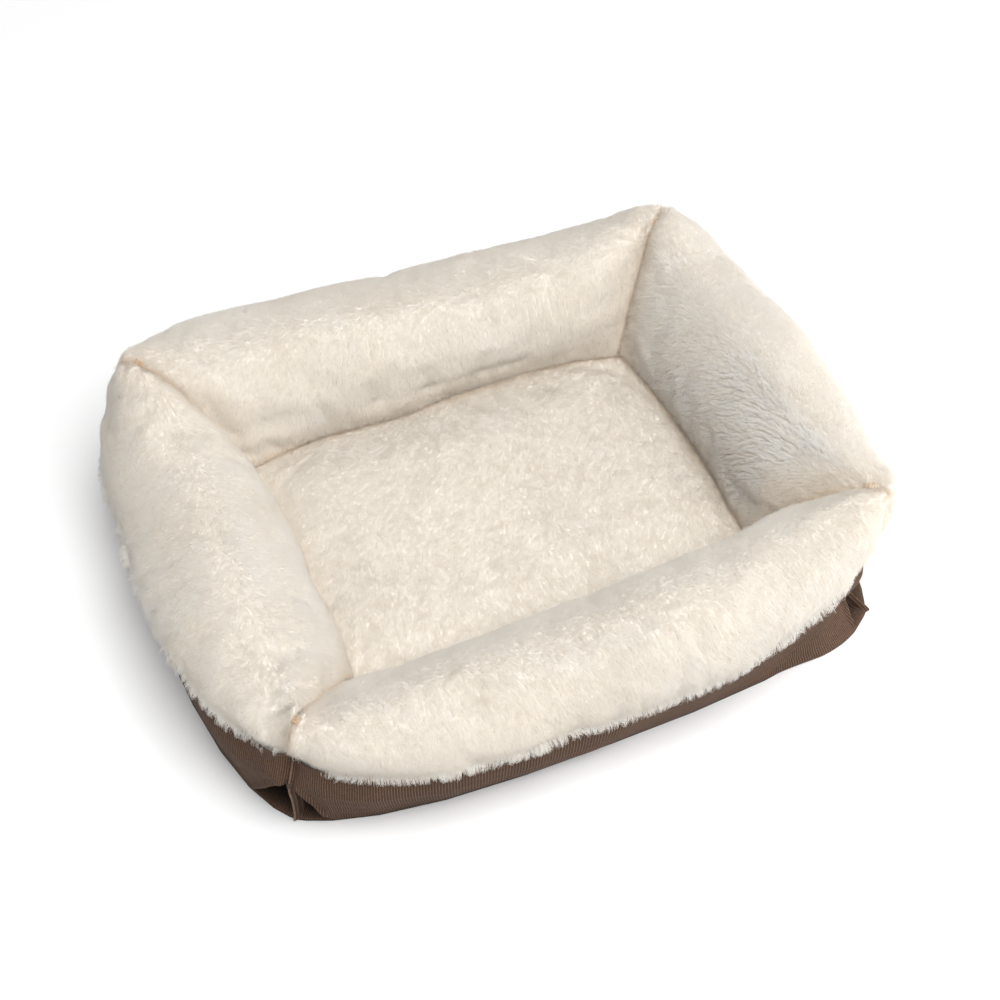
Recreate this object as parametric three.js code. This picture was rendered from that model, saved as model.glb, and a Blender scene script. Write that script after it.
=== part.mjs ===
// Rectangular cuddler bed for a small pet: four stuffed bolsters mitred at the corners, round a
// padded floor. Millimetres, +X along the length, +Y to the back, +Z up, origin on the floor
// under the middle of the bed.
import * as THREE from "three";

// Driving dimensions.
const CORNER_X = 250; // from the centre to a corner seam, along the length
const CORNER_Y = 191; // and across the width
const PAD_INSET = 67; // from a corner seam's crest in to the pad's corner
const BASE_CORNER = 11; // the base panel's corner stands this far outside the crest
const PAD_SEAM = 50; // height of the seam between the pad and the bolsters
const PAD_CROWN = 15; // rise of the pad's middle above that seam
const BELLY = 97; // height of the half ellipse under a bolster's widest line

const PLUSH = 4; // backing and flattened pile
const CANVAS = 1.2;
const LINING = 0.8;
const BASE = 1.5;
const GAP = 0.4; // between neighbouring pieces
const LOFT = 2.5; // between a filling and the cloth over it
const MITRE_GAP = 1.9; // taken off each end of a bolster, so that the corner seam fits between
const SEAM_FLANGE = 2; // thickness of a corner seam's two turned-in edges
const SEAM_PROUD = 1.2;
const SEAM_TURNED_IN = 3; // depth of those edges behind the canvas
const UNDER_HEM = 0.05; // share of the canvas's drop that the cover's hem takes up

// Each corner: height of the crest, how far the plush stands outside it, height of the hem, and
// how far out and how high the canvas is tacked.
const CORNERS = {
  front_left: { x: -1, y: -1, crest: 119, reach: 8, hem: 83, pinch: 12, tack: 56 },
  front_right: { x: 1, y: -1, crest: 162, reach: 8, hem: 84, pinch: -12, tack: 40 },
  back_right: { x: 1, y: 1, crest: 138, reach: 22, hem: 74, pinch: 2, tack: 36 },
  back_left: { x: -1, y: 1, crest: 154, reach: 18, hem: 66, pinch: -2, tack: 32 },
};
const HEM_STEP = 6; // a hem stands this far inside the plush's reach

// Each bolster at half its length: distance of its middle outside the corners' line, half its
// width, height of its widest line, rise from there to the crest, height of the hem, and how
// much fuller it is towards its end than at its start.
const SIDES = {
  front: {
    start: "front_left", end: "front_right", turn: 0,
    out: 17, half: 52, waist: 82, rise: 55, hem: 72, lean: 0,
  },
  right: {
    start: "front_right", end: "back_right", turn: 1,
    out: 3, half: 63, waist: 84, rise: 60, hem: 68, lean: 0,
  },
  back: {
    start: "back_right", end: "back_left", turn: 2,
    out: 5, half: 60, waist: 84, rise: 59, hem: 66, lean: 0.4,
  },
  left: {
    start: "back_left", end: "front_left", turn: 3,
    out: -4, half: 69, waist: 58, rise: 58, hem: 86, lean: -0.15,
  },
};

// Facets along a bolster, over its plush cover and down its canvas.
const ALONG = 12;
const OVER = 14;
const DOWN = 6;
const PAD_FACETS = 12;

const cloth = (color, roughness) => new THREE.MeshStandardMaterial({ color, roughness, metalness: 0 });
const plushMaterial = () => cloth(0xe7ded3, 0.95);
const canvasMaterial = () => cloth(0x775f50, 0.85);
const fillMaterial = () => cloth(0xf4f3ee, 1);
const threadMaterial = () => cloth(0x5a4538, 0.7);

// Sections are drawn in two dimensions: x is the distance outside the corners' line, y the height.
const lerp = THREE.MathUtils.lerp;
const point = (x, y) => new THREE.Vector2(x, y);

function cornerPlush({ crest, reach, hem }) {
  const climb = crest - PAD_SEAM;
  const shoulder = lerp(crest, hem, 0.55);
  return new THREE.SplineCurve([
    point(-PAD_INSET, PAD_SEAM),
    point(-PAD_INSET + 13, PAD_SEAM + 0.3 * climb),
    point(-PAD_INSET + 35, PAD_SEAM + 0.64 * climb),
    point(0, crest),
    point(0.75 * reach, crest + 1),
    point(reach, lerp(crest, hem, 0.2)),
    point(reach + 2, shoulder),
    point(reach + 1, lerp(shoulder, hem, 0.55)),
    point(reach - HEM_STEP, hem),
  ]);
}

// The canvas is tacked part way down each corner, which leaves a lobe above and a lobe below.
function cornerCanvas({ reach, hem, pinch, tack }) {
  const top = reach - HEM_STEP;
  return new THREE.SplineCurve([
    point(top, hem),
    point(lerp(top, pinch, 0.5), lerp(hem, tack, 0.7)),
    point(pinch, tack),
    point(lerp(pinch, BASE_CORNER, 0.25), 0.6 * tack),
    point(BASE_CORNER, BASE + GAP),
  ]);
}

// A bolster's section is half an ellipse above its waist and a taller one, cut off, below.
function sectionPoint(side, angle) {
  const height = Math.sin(angle) > 0 ? side.rise : BELLY;
  return point(side.out + side.half * Math.cos(angle), side.waist + height * Math.sin(angle));
}

const angleBelowWaist = (side, height) => Math.asin((side.waist - height) / BELLY);

function middlePlush(side, v) {
  const first = Math.PI + angleBelowWaist(side, PAD_SEAM);
  return sectionPoint(side, lerp(first, -angleBelowWaist(side, side.hem), v));
}

function middleCanvas(side, v) {
  const last = angleBelowWaist(side, BASE + GAP);
  return sectionPoint(side, lerp(-angleBelowWaist(side, side.hem), -last, v));
}

// Swelling of a bolster at t, from -1 at its start to 1 at its end: it fills out quickly from
// the valley seams inside, and in one long arc outside.
function swell(side, t, outside) {
  const valley = (1 - Math.abs(t) ** 3.2) ** 0.75;
  const arc = 1 - Math.abs(t) ** 2.8;
  return lerp(valley, arc, outside) * (1 + side.lean * t);
}

function surfacePoint(side, t, v, cornerCurve, middle, outside) {
  const start = cornerCurve(CORNERS[side.start]).getPoint(v);
  const end = cornerCurve(CORNERS[side.end]).getPoint(v);
  const mean = start.clone().lerp(end, 0.5);
  const swelling = middle(side, v).sub(mean).multiplyScalar(swell(side, t, outside));
  return start.lerp(end, (1 + t) / 2).add(swelling);
}

const plushPoint = (side, t, v) =>
  surfacePoint(side, t, v, cornerPlush, middlePlush, THREE.MathUtils.clamp((v - 0.55) / 0.35, 0, 1));
const canvasPoint = (side, t, v) => surfacePoint(side, t, v, cornerCanvas, middleCanvas, 1);

// The same surface, a depth further in, and never below the top of the base panel.
function inside(surface, side, t, v, depth) {
  const step = 0.01;
  const run = surface(side, t, Math.min(v + step, 1)).sub(surface(side, t, Math.max(v - step, 0)));
  const inward = point(run.y, -run.x).normalize();
  const spot = surface(side, t, v).addScaledVector(inward, depth);
  return point(spot.x, Math.max(spot.y, BASE + GAP));
}

// From a section at t along a bolster to the bed.
function inBed(side, t, section) {
  const lengthwise = side.turn % 2 === 0;
  const alongHalf = (lengthwise ? CORNER_X : CORNER_Y) + section.x - MITRE_GAP;
  const outward = (lengthwise ? CORNER_Y : CORNER_X) + section.x;
  const turned = point(t * alongHalf, -outward).rotateAround(point(0, 0), (side.turn * Math.PI) / 2);
  return new THREE.Vector3(turned.x, turned.y, section.y);
}

// The innermost line of a bolster at t, which the pad stops short of.
function innerLine(side, t) {
  let least = Infinity;
  for (let i = 0; i <= OVER; i += 1) {
    least = Math.min(least, plushPoint(side, t, i / OVER).x);
  }
  return least;
}

// Stations along a bolster, for u from 0 to 1: closer together near its ends, where it swells.
const station = (u) => Math.sin(Math.PI * (u - 0.5));

// Moves every vertex of a unit box, segmented as asked, to place(x, y, z), each from 0 to 1.
function bentBox(across, along, place) {
  const geometry = new THREE.BoxGeometry(1, 1, 1, across, along, 1);
  const spots = geometry.getAttribute("position");
  for (let i = 0; i < spots.count; i += 1) {
    const moved = place(spots.getX(i) + 0.5, spots.getY(i) + 0.5, spots.getZ(i) + 0.5);
    spots.setXYZ(i, moved.x, moved.y, moved.z);
  }
  geometry.computeVertexNormals();
  return geometry;
}

const bed = new THREE.Group();

function addPiece(name, geometry, material) {
  const mesh = new THREE.Mesh(geometry, material);
  mesh.name = name;
  bed.add(mesh);
  return mesh;
}

function plushCover(side) {
  return bentBox(OVER, ALONG, (v, u, w) => {
    const t = station(u);
    return inBed(side, t, inside(plushPoint, side, t, v, (1 - w) * PLUSH));
  });
}

function outerPanel(side) {
  return bentBox(DOWN, ALONG, (v, u, w) => {
    const t = station(u);
    return inBed(side, t, inside(canvasPoint, side, t, Math.max(v, UNDER_HEM), (1 - w) * CANVAS));
  });
}

// The wall of lining from the base up to the pad's seam, which keeps the two fillings apart.
function innerDivider(side) {
  const low = BASE + GAP;
  const high = PAD_SEAM - 2;
  return bentBox(1, ALONG, (w, u, v) => {
    const t = station(u);
    const seam = plushPoint(side, t, 0).x;
    return inBed(side, t, point(seam + GAP + w * LINING, lerp(low, high, v)));
  });
}

// A closed round of points: over inside the cover, down inside the canvas, back along the base.
function fillRound(side, t) {
  const round = [];
  for (let i = 0; i <= OVER; i += 1) {
    round.push(inside(plushPoint, side, t, i / OVER, PLUSH + LOFT));
  }
  for (let i = 1; i <= DOWN; i += 1) {
    round.push(inside(canvasPoint, side, t, i / DOWN, CANVAS + LOFT));
  }
  round.push(point(plushPoint(side, t, 0).x + LINING + 2 * GAP, BASE + GAP));
  return round;
}

function bolsterFill(side) {
  const around = OVER + DOWN + 2;
  const geometry = new THREE.CylinderGeometry(1, 1, 1, around, ALONG);
  const spots = geometry.getAttribute("position");
  for (let i = 0; i < spots.count; i += 1) {
    const [x, y, z] = [spots.getX(i), spots.getY(i), spots.getZ(i)];
    const t = station(y + 0.5);
    const round = fillRound(side, t);
    const onAxis = Math.hypot(x, z) < 0.5;
    const turn = (Math.atan2(x, z) / (2 * Math.PI) + 1) % 1;
    const middle = point(side.out * (1 - Math.abs(t)), side.waist);
    const spot = inBed(side, t, onAxis ? middle : round[Math.round(turn * around) % around]);
    spots.setXYZ(i, spot.x, spot.y, spot.z);
  }
  geometry.computeVertexNormals();
  return geometry;
}

// The pad's plan: x and y from -1 to 1, blended from the four bolsters' inner lines.
function padPlan(x, y, inset) {
  const edge = (side, t) => {
    const spot = inBed(side, t, point(innerLine(side, t) - inset, 0));
    return point(spot.x, spot.y);
  };
  const front = edge(SIDES.front, x);
  const back = edge(SIDES.back, -x);
  const left = edge(SIDES.left, -y);
  const right = edge(SIDES.right, y);
  return point(lerp(left.x, right.x, (1 + x) / 2), lerp(front.y, back.y, (1 + y) / 2));
}

const padTop = (x, y) => PAD_SEAM + PAD_CROWN * (1 - x ** 4) * (1 - y ** 4);

function padCover() {
  return bentBox(PAD_FACETS, PAD_FACETS, (u, v, w) => {
    const [x, y] = [station(u), station(v)];
    const plan = padPlan(x, y, 1);
    return new THREE.Vector3(plan.x, plan.y, padTop(x, y) - (1 - w) * PLUSH);
  });
}

function padFill() {
  return bentBox(PAD_FACETS, PAD_FACETS, (u, v, w) => {
    const [x, y] = [station(u), station(v)];
    const plan = padPlan(x, y, 2);
    return new THREE.Vector3(plan.x, plan.y, lerp(BASE + GAP, padTop(x, y) - PLUSH - LOFT, w));
  });
}

function basePanel() {
  const outline = [];
  for (const side of Object.values(SIDES)) {
    for (let i = 0; i < ALONG; i += 1) {
      const t = station(i / ALONG);
      const spot = inBed(side, t, canvasPoint(side, t, 1));
      outline.push(point(spot.x, spot.y));
    }
  }
  return new THREE.ExtrudeGeometry(new THREE.Shape(outline), { depth: BASE, bevelEnabled: false });
}

// Stands a piece drawn in a corner's upright diagonal plane at that corner.
function standAtCorner(mesh, corner, thickness) {
  const diagonal = new THREE.Vector3(corner.x, corner.y, 0).normalize();
  const up = new THREE.Vector3(0, 0, 1);
  const across = diagonal.clone().cross(up);
  const place = new THREE.Matrix4().makeBasis(diagonal, up, across);
  const seam = new THREE.Vector3(corner.x * CORNER_X, corner.y * CORNER_Y, 0);
  place.setPosition(seam.addScaledVector(across, -thickness / 2));
  mesh.applyMatrix4(place);
}

// The turned-in edges of two outer panels, sewn together and standing a little proud.
function cornerSeam(corner) {
  const curve = cornerCanvas(corner);
  const outer = [];
  const inner = [];
  for (let i = 0; i <= DOWN * 2; i += 1) {
    const v = lerp(0.03, 0.99, i / (DOWN * 2));
    const spot = curve.getPoint(v);
    const run = curve.getTangent(v);
    const face = point(spot.x * Math.SQRT2, Math.max(spot.y, BASE + GAP));
    const outward = point(-run.y, run.x);
    outer.push(face.clone().add(point(SEAM_PROUD * outward.x, 0)));
    inner.unshift(face.clone().add(point(-SEAM_TURNED_IN * outward.x, 0)));
  }
  return new THREE.ExtrudeGeometry(new THREE.Shape([...outer, ...inner]), {
    depth: SEAM_FLANGE,
    bevelEnabled: false,
  });
}

// A row of close stitches across the corner seam where the canvas is drawn in.
function cornerBartack(corner) {
  const [halfLength, radius] = [3, 1.4];
  const bar = new THREE.Shape();
  bar.absarc(halfLength, 0, radius, -Math.PI / 2, Math.PI / 2, false);
  bar.absarc(-halfLength, 0, radius, Math.PI / 2, -Math.PI / 2, false);
  const geometry = new THREE.ExtrudeGeometry(bar, { depth: 1.6, bevelEnabled: false, curveSegments: 6 });
  geometry.rotateY(Math.PI / 2);
  geometry.translate(corner.pinch * Math.SQRT2 + SEAM_PROUD + 2 * CANVAS, corner.tack, 0);
  return geometry;
}

// The knot of thread that pulls the four layers of plush together at a corner's crest.
function crestTack(corner) {
  const geometry = new THREE.SphereGeometry(1, 10, 6);
  geometry.scale(4, 2.5, 1);
  geometry.translate(0, corner.crest - 2, 0);
  return geometry;
}

addPiece("base_panel", basePanel(), canvasMaterial());
addPiece("pad_fill", padFill(), fillMaterial());
addPiece("pad_cover", padCover(), plushMaterial());
for (const [name, side] of Object.entries(SIDES)) {
  addPiece(`bolster_fill_${name}`, bolsterFill(side), fillMaterial());
  addPiece(`inner_divider_${name}`, innerDivider(side), fillMaterial());
  addPiece(`plush_cover_${name}`, plushCover(side), plushMaterial());
  addPiece(`outer_panel_${name}`, outerPanel(side), canvasMaterial());
}
for (const [name, corner] of Object.entries(CORNERS)) {
  standAtCorner(addPiece(`corner_seam_${name}`, cornerSeam(corner), canvasMaterial()), corner, SEAM_FLANGE);
  standAtCorner(addPiece(`corner_bartack_${name}`, cornerBartack(corner), threadMaterial()), corner, 0);
  standAtCorner(addPiece(`crest_tack_${name}`, crestTack(corner), threadMaterial()), corner, 0);
}

export default bed;
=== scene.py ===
"""The looks of a rectangular cuddler bed: stuffed plush bolsters round a padded floor, over a
corded canvas lower wall. Metres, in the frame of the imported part."""

import math

import bmesh
import bpy
import numpy as np
from mathutils import Matrix, Vector
from mathutils.bvhtree import BVHTree
from mathutils.kdtree import KDTree


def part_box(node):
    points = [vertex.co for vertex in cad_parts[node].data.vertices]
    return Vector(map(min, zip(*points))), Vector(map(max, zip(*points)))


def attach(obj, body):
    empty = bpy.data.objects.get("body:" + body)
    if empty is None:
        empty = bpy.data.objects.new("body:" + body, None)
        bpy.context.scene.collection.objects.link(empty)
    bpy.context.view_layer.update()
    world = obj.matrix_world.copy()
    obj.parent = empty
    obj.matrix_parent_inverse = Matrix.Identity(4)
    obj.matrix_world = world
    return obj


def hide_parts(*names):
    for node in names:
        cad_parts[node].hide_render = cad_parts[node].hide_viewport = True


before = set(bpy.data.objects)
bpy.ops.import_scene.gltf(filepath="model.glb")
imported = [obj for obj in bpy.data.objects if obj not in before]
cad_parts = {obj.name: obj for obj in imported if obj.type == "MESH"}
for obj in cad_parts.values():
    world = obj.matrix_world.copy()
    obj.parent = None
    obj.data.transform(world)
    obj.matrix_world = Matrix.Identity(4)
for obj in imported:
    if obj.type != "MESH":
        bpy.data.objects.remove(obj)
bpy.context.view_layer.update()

MM = 0.001
UP = np.array([0, 0, 1.0])
IN_PLAN = np.array([1, 1, 0])  # times a vector, the level part of it

# ---- sizes, all in metres
# Cushions
VOXEL = 6 * MM  # of the remesh that the cloth starts from
INFLATE_STEPS = 20
CLOTH_SETTINGS = {
    "quality": 4,
    "mass": 0.2,
    "tension_stiffness": 12,
    "compression_stiffness": 12,
    "shear_stiffness": 4,
    "bending_stiffness": 0.3,
    "use_pressure": True,
    "uniform_pressure_force": 4.0,
    "shrink_min": -0.012,  # the cover is cut this share larger than its filling
    "vertex_group_mass": "sewn",
}
SWELL_CAP = 6 * MM  # the most that the pressure may move a point
SEAM_CLEARANCE = 0.2 * MM  # between a cushion and its mitre
PAD_SPREAD = 4 * MM  # how far the pad bears out into its seam
TACK_DIMPLE = 4 * MM  # how far a corner tack draws the crest down
FOOT_FILL = 4.5 * MM  # how far a bolster's foot bears on the pad
CORNER_FILL = 2.5 * MM  # how much fuller the bolsters are towards their corners
CANVAS_TUCK = 6 * MM  # how far the cushions keep in behind the canvas
ROLL_LUMPS = ((80 * MM, 2.6 * MM), (34 * MM, 0.8 * MM))  # size across and height
PAD_LUMPS = ((90 * MM, 2.0 * MM), (38 * MM, 0.7 * MM))
GATHER_DEPTH = 2 * MM
HEM_LIFT = 9 * MM  # rise of the cover's hem towards the front right corner
HEM_LIP = 6 * MM  # how far the cover rolls out over the canvas just above the hem

# Plush pile: length, spacing of its tufts, strands to a square metre, and how far each strand's
# points stand up and reach over, as shares of the length
NAP = {
    "length": 6.5 * MM,
    "spacing": 3.8 * MM,
    "density": 1_400_000,
    "up": (0, 0.16, 0.27, 0.34, 0.37, 0.38),
    "over": (0, 0.10, 0.25, 0.44, 0.65, 0.86),
}
SMOOTH_NAP = {**NAP, "up": (0, 0.13, 0.22, 0.27, 0.29, 0.29), "spacing": 5.0 * MM}
FRINGE = {
    "length": 9.5 * MM,
    "spacing": 2.6 * MM,
    "density": 2_600_000,
    "up": (0, 0.16, 0.27, 0.33, 0.34, 0.30),
    "over": (0, 0.12, 0.28, 0.48, 0.70, 0.92),
}
FRINGE_BAND = 6 * MM  # height above the hem that the fringe grows from
STRAND_POINTS = 6
STRAND_RADIUS = 0.13 * MM
STRAND_WOBBLE = 0.16 * MM
LEAN_SPREAD = 0.22
SOFTNESS = 0.8  # how far light from above carries round through the pile
RELIEF = 0.55 * MM  # height of the tufts in the mesh under the strands

# Canvas
CORD_PITCH = 2.1 * MM
FOLD_LENGTH = 36 * MM  # how far a fold runs from its corner before it meets the floor
FOLD_LENGTHS = {("left", "front_left"): 54 * MM, ("front", "front_left"): 34 * MM}
FOLD_DEPTH = 14 * MM
FOLD_SWELL = 2.5 * MM
CORNER_ROUND = 16 * MM  # of the canvas in plan, above the tacks
CANVAS_THICKNESS = 0.9 * MM
HEM_TUCK = 3 * MM  # how far the canvas runs up under the fringe
PANEL_COLUMNS, PANEL_ROWS = 340, 72

AZIMUTH, ELEVATION, ROLL = -24.7, 48.7, 0.7
DISTANCE, LENS = 1.722, 72
TARGET = Vector((0.0025, -0.0075, 0.060))

# ---- the frame's places
CORNER_NAMES = ("front_left", "front_right", "back_right", "back_left")
# Each side's direction along, its direction outward, and its corners at its start and its end.
SIDES = {
    "front": (np.array([1.0, 0, 0]), np.array([0, -1.0, 0]), "front_left", "front_right"),
    "right": (np.array([0, 1.0, 0]), np.array([1.0, 0, 0]), "front_right", "back_right"),
    "back": (np.array([-1.0, 0, 0]), np.array([0, 1.0, 0]), "back_right", "back_left"),
    "left": (np.array([0, -1.0, 0]), np.array([-1.0, 0, 0]), "back_left", "front_left"),
}


def node_middle(name):
    low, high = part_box(name)
    return np.array((Vector(low) + Vector(high)) / 2)


crests = {name: node_middle(f"crest_tack_{name}") for name in CORNER_NAMES}
pinches = {name: node_middle(f"corner_bartack_{name}") for name in CORNER_NAMES}
base_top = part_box("base_panel")[1][2]
pad_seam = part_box("plush_cover_front")[0][2]


def vectors(items, key):
    flat = np.empty(len(items) * 3)
    items.foreach_get(key, flat)
    return flat.reshape(-1, 3)


def points_of(mesh):
    return vectors(mesh.vertices, "co")


def normals_of(mesh):
    return vectors(mesh.vertex_normals, "vector")


def node_points(name):
    return points_of(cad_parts[name].data)


def half_along(side):
    along, _, start, _ = SIDES[side]
    return abs(float(crests[start] @ along))


def half_outward(side):
    _, outward, start, _ = SIDES[side]
    return abs(float(crests[start] @ outward))


def shares(points, side):
    """Place along a side from -1 to 1, mitre to mitre, and distance outside the corners' line."""
    along, outward, _, _ = SIDES[side]
    out = points @ outward - half_outward(side)
    return points @ along / (half_along(side) + out), out


def sides_at(corner):
    return [side for side in SIDES if corner in SIDES[side][2:]]


def hem_line(side):
    """(shares along, heights) of the canvas panel's top edge."""
    points = node_points(f"outer_panel_{side}")
    share, _ = shares(points, side)
    stations, heights = [], []
    for station in np.arange(-1, 1.001, 0.02):
        near = np.abs(share - station) < 0.01
        if near.any():
            stations.append(share[near].mean())
            heights.append(points[near, 2].max())
    return np.array(stations), np.array(heights)


hems = {side: hem_line(side) for side in SIDES}


def hem_height(side, points):
    """Height of the cover's hem: the canvas's edge, or above it where the cover is drawn up."""
    share, _ = shares(points, side)
    if side == "front":
        lifted = smooth(0.1, 1.0, share)
    else:
        lifted = smooth(-0.6, -1.0, share) if side == "right" else 0
    return np.interp(share, *hems[side]) + HEM_LIFT * lifted


# ---- numbers and noise
def smooth(low, high, x):
    """0 up to low, 1 from high on, and the other way round where low is above high."""
    part = np.clip((x - low) / (high - low), 0, 1)
    return part * part * (3 - 2 * part)


def lattice(cell, seed):
    """A number from 0 to 1 for each lattice point."""
    mixed = cell[:, 0] * 374761393 + cell[:, 1] * 668265263 + cell[:, 2] * 2147483647 + seed * 974634777
    mixed = (mixed ^ (mixed >> 13)) * 1274126177
    mixed = (mixed ^ (mixed >> 16)) & 0xFFFFFF
    return mixed / 0xFFFFFF


def noise(points, scale, seed):
    """Smooth noise from -1 to 1, with features about scale across."""
    spot = points / scale + 1000.5
    cell = np.floor(spot).astype(np.int64)
    part = spot - cell
    part = part * part * (3 - 2 * part)
    total = np.zeros(len(points))
    for step in np.ndindex(2, 2, 2):
        share = np.prod(np.where(np.array(step) == 1, part, 1 - part), axis=1)
        total += share * lattice(cell + np.array(step), seed)
    return total * 2 - 1


def noise3(points, scale, seed):
    return np.stack([noise(points, scale, seed + i) for i in range(3)], axis=1)


def unit(vectors):
    return vectors / np.maximum(np.linalg.norm(vectors, axis=-1, keepdims=True), 1e-9)


def on_surface(wishes, normals):
    """Unit directions along a surface, as near as can be to the ones wished for."""
    return unit(wishes - normals * (wishes * normals).sum(axis=1, keepdims=True))


# ---- meshes
def link(ob):
    bpy.context.scene.collection.objects.link(ob)
    return ob


def shade_smooth(mesh):
    mesh.polygons.foreach_set("use_smooth", [True] * len(mesh.polygons))


def mesh_object(name, points, faces):
    mesh = bpy.data.meshes.new(name)
    mesh.from_pydata([tuple(p) for p in points], [], faces)
    mesh.validate()
    shade_smooth(mesh)
    return link(bpy.data.objects.new(name, mesh))


def set_points(mesh, points):
    mesh.vertices.foreach_set("co", points.ravel())
    mesh.update()


def set_attribute(mesh, name, values):
    layer = mesh.attributes.new(name, "FLOAT", "POINT")
    layer.data.foreach_set("value", np.asarray(values, dtype=np.float32))


def apply_modifiers(ob):
    graph = bpy.context.evaluated_depsgraph_get()
    baked = bpy.data.meshes.new_from_object(ob.evaluated_get(graph))
    ob.modifiers.clear()
    ob.data = baked


def grid_faces(rows, columns):
    faces = []
    for i in range(rows - 1):
        for j in range(columns - 1):
            a = i * columns + j
            faces.append((a, a + 1, a + columns + 1, a + columns))
    return faces


# ---- materials
def material(name, roughness):
    mat = bpy.data.materials.new(name)
    mat.use_nodes = True
    shader = mat.node_tree.nodes["Principled BSDF"]
    shader.inputs["Roughness"].default_value = roughness
    return mat, mat.node_tree, shader


def attribute_node(tree, name):
    node = tree.nodes.new("ShaderNodeAttribute")
    node.attribute_name = name
    return node


def ramp(tree, factor, stops):
    node = tree.nodes.new("ShaderNodeValToRGB")
    elements = node.color_ramp.elements
    while len(elements) < len(stops):
        elements.new(0.5)
    for element, (place, colour) in zip(elements, stops):
        element.position = place
        element.color = (*colour, 1)
    tree.links.new(factor, node.inputs["Fac"])
    return node.outputs["Color"]


def noise_node(tree, scale, detail):
    coordinates = tree.nodes.new("ShaderNodeTexCoord")
    node = tree.nodes.new("ShaderNodeTexNoise")
    node.inputs["Scale"].default_value = scale
    node.inputs["Detail"].default_value = detail
    tree.links.new(coordinates.outputs["Object"], node.inputs["Vector"])
    return node.outputs["Fac"]


def mix_colour(tree, factor, a, b, blend="MIX"):
    node = tree.nodes.new("ShaderNodeMix")
    node.data_type = "RGBA"
    node.blend_type = blend
    if isinstance(factor, float):
        node.inputs["Factor"].default_value = factor
    else:
        tree.links.new(factor, node.inputs["Factor"])
    tree.links.new(a, node.inputs["A"])
    tree.links.new(b, node.inputs["B"])
    return node.outputs["Result"]


def bump(tree, shader, height, distance, strength):
    node = tree.nodes.new("ShaderNodeBump")
    node.inputs["Distance"].default_value = distance
    node.inputs["Strength"].default_value = strength
    tree.links.new(height, node.inputs["Height"])
    tree.links.new(node.outputs["Normal"], shader.inputs["Normal"])


def plush_material():
    """The cloth under the pile and the roots of the pile: cream, darkened to tan deep between the tufts
    as painted shade.
    """
    mat, tree, shader = material("plush", 0.95)
    depth = attribute_node(tree, "pile").outputs["Fac"]
    # painted shade: the ramp runs darker and tanner where the pile attribute is low, between the tufts
    stops = [(0.0, (0.80, 0.73, 0.64)), (0.4, (0.88, 0.82, 0.74)), (1.0, (0.92, 0.88, 0.81))]
    tint = ramp(tree, depth, stops)
    stops = [(0.3, (0.90, 0.89, 0.87)), (0.7, (1.0, 1.0, 1.0))]
    mottle = ramp(tree, noise_node(tree, 28.0, 4.0), stops)
    tree.links.new(mix_colour(tree, 1.0, tint, mottle, "MULTIPLY"), shader.inputs["Base Color"])
    shader.inputs["Sheen Weight"].default_value = 0.25
    shader.inputs["Sheen Roughness"].default_value = 0.5
    bump(tree, shader, noise_node(tree, 900.0, 2.0), 0.6 * MM, 0.5)
    return mat


def fur_material():
    """One strand: cream, with a tone of its own that also carries painted light where the pile is
    ruffled, lit as the cloth under it is.
    """
    mat, tree, shader = material("plush_strand", 0.8)
    tone_and_painted_light = attribute_node(tree, "tone_and_painted_light").outputs["Fac"]
    stops = [(0.0, (0.84, 0.77, 0.68)), (0.5, (0.945, 0.90, 0.828)), (1.0, (0.985, 0.97, 0.94))]
    cream = ramp(tree, tone_and_painted_light, stops)
    tan = tree.nodes.new("ShaderNodeRGB")
    tan.outputs[0].default_value = (0.78, 0.57, 0.36, 1)
    colour = mix_colour(tree, attribute_node(tree, "seam").outputs["Fac"], cream, tan.outputs[0])
    tree.links.new(colour, shader.inputs["Base Color"])
    skin = attribute_node(tree, "skin_normal").outputs["Vector"]
    tree.links.new(skin, shader.inputs["Normal"])
    through = tree.nodes.new("ShaderNodeBsdfTranslucent")
    tree.links.new(colour, through.inputs["Color"])
    both = tree.nodes.new("ShaderNodeMixShader")
    both.inputs["Fac"].default_value = 0.35
    tree.links.new(shader.outputs[0], both.inputs[1])
    tree.links.new(through.outputs[0], both.inputs[2])
    tree.links.new(both.outputs[0], tree.nodes["Material Output"].inputs["Surface"])
    return mat


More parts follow.
